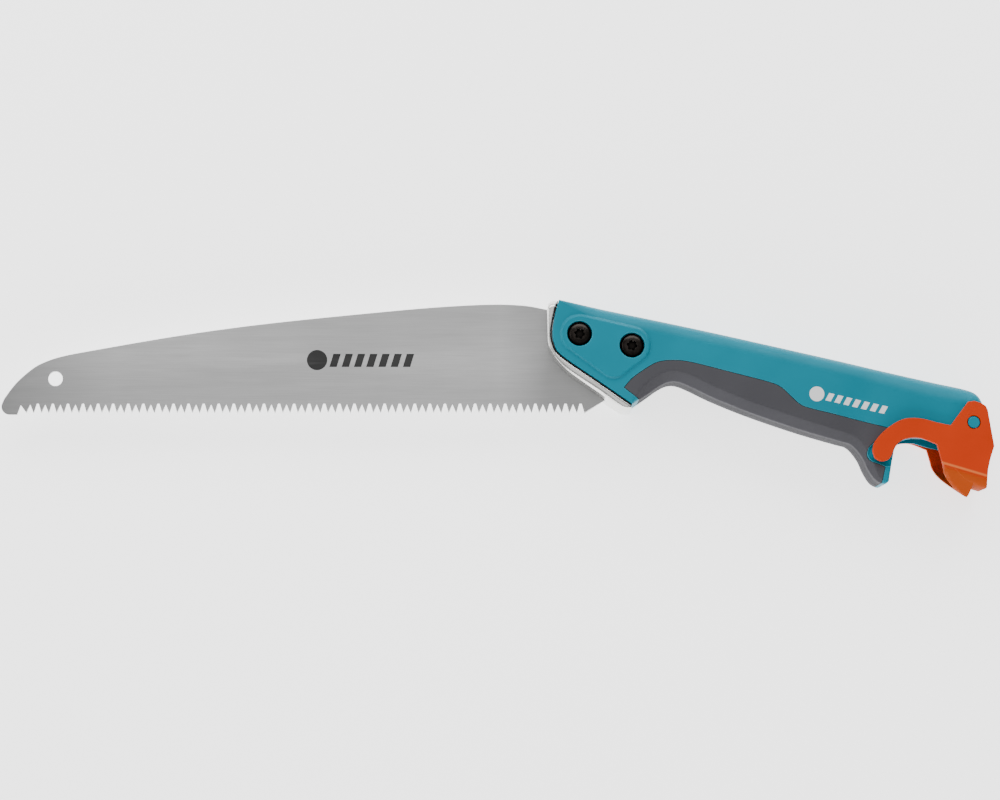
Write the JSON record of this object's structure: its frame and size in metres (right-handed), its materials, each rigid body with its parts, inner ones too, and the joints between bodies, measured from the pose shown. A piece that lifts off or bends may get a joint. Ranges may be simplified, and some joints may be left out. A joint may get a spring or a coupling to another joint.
{
  "type": "pruning saw",
  "caption": "Pruning saw with a straight toothed blade screwed into a hollow two-shell handle, soft grip, and a U-shaped pole lever hinged at the butt.",
  "frame": {"origin": "right shell's flat screw pad, midway between the two blade screws", "axes": "+X along the tooth line to the butt, +Y from the teeth to the spine, +Z out of the left side"},
  "size_m": [0.5221, 0.1034, 0.034],
  "materials": {
    "blade_steel": "ground, satin",
    "bolster_alloy": "polished casting",
    "zinc_steel": "zinc plated",
    "black_steel": "black oxide, semi-gloss",
    "teal_plastic": "fine moulded texture",
    "grey_elastomer": "soft-touch, matt",
    "orange_plastic": "satin moulding",
    "black_plastic": "matt"
  },
  "bodies": {
    "saw": {"saw_blade": "blade_steel", "bolster": "bolster_alloy", "bolster_gasket": "black_plastic", "left_shell": "teal_plastic", "right_shell": "teal_plastic", "left_grip": "grey_elastomer", "right_grip": "grey_elastomer", "front_blade_screw": "black_steel", "rear_blade_screw": "black_steel", "front_sleeve_nut": "black_steel", "rear_sleeve_nut": "black_steel", "front_lock_washer": "zinc_steel", "rear_lock_washer": "zinc_steel", "pole_stop": "black_plastic", "shell_screw_front": "zinc_steel", "shell_screw_middle": "zinc_steel", "shell_screw_rear": "zinc_steel", "left_pivot_pin": "teal_plastic", "right_pivot_pin": "teal_plastic"},
    "lever": {"pole_lever": "orange_plastic"}
  },
  "joints": [
    {"name": "lever_hinge", "type": "hinge", "parent": "saw", "child": "lever", "pos_m": [0.19211, -0.0436, 0.017], "axis": [0, 0, 1], "range_deg": [0, 180]}
  ]
}
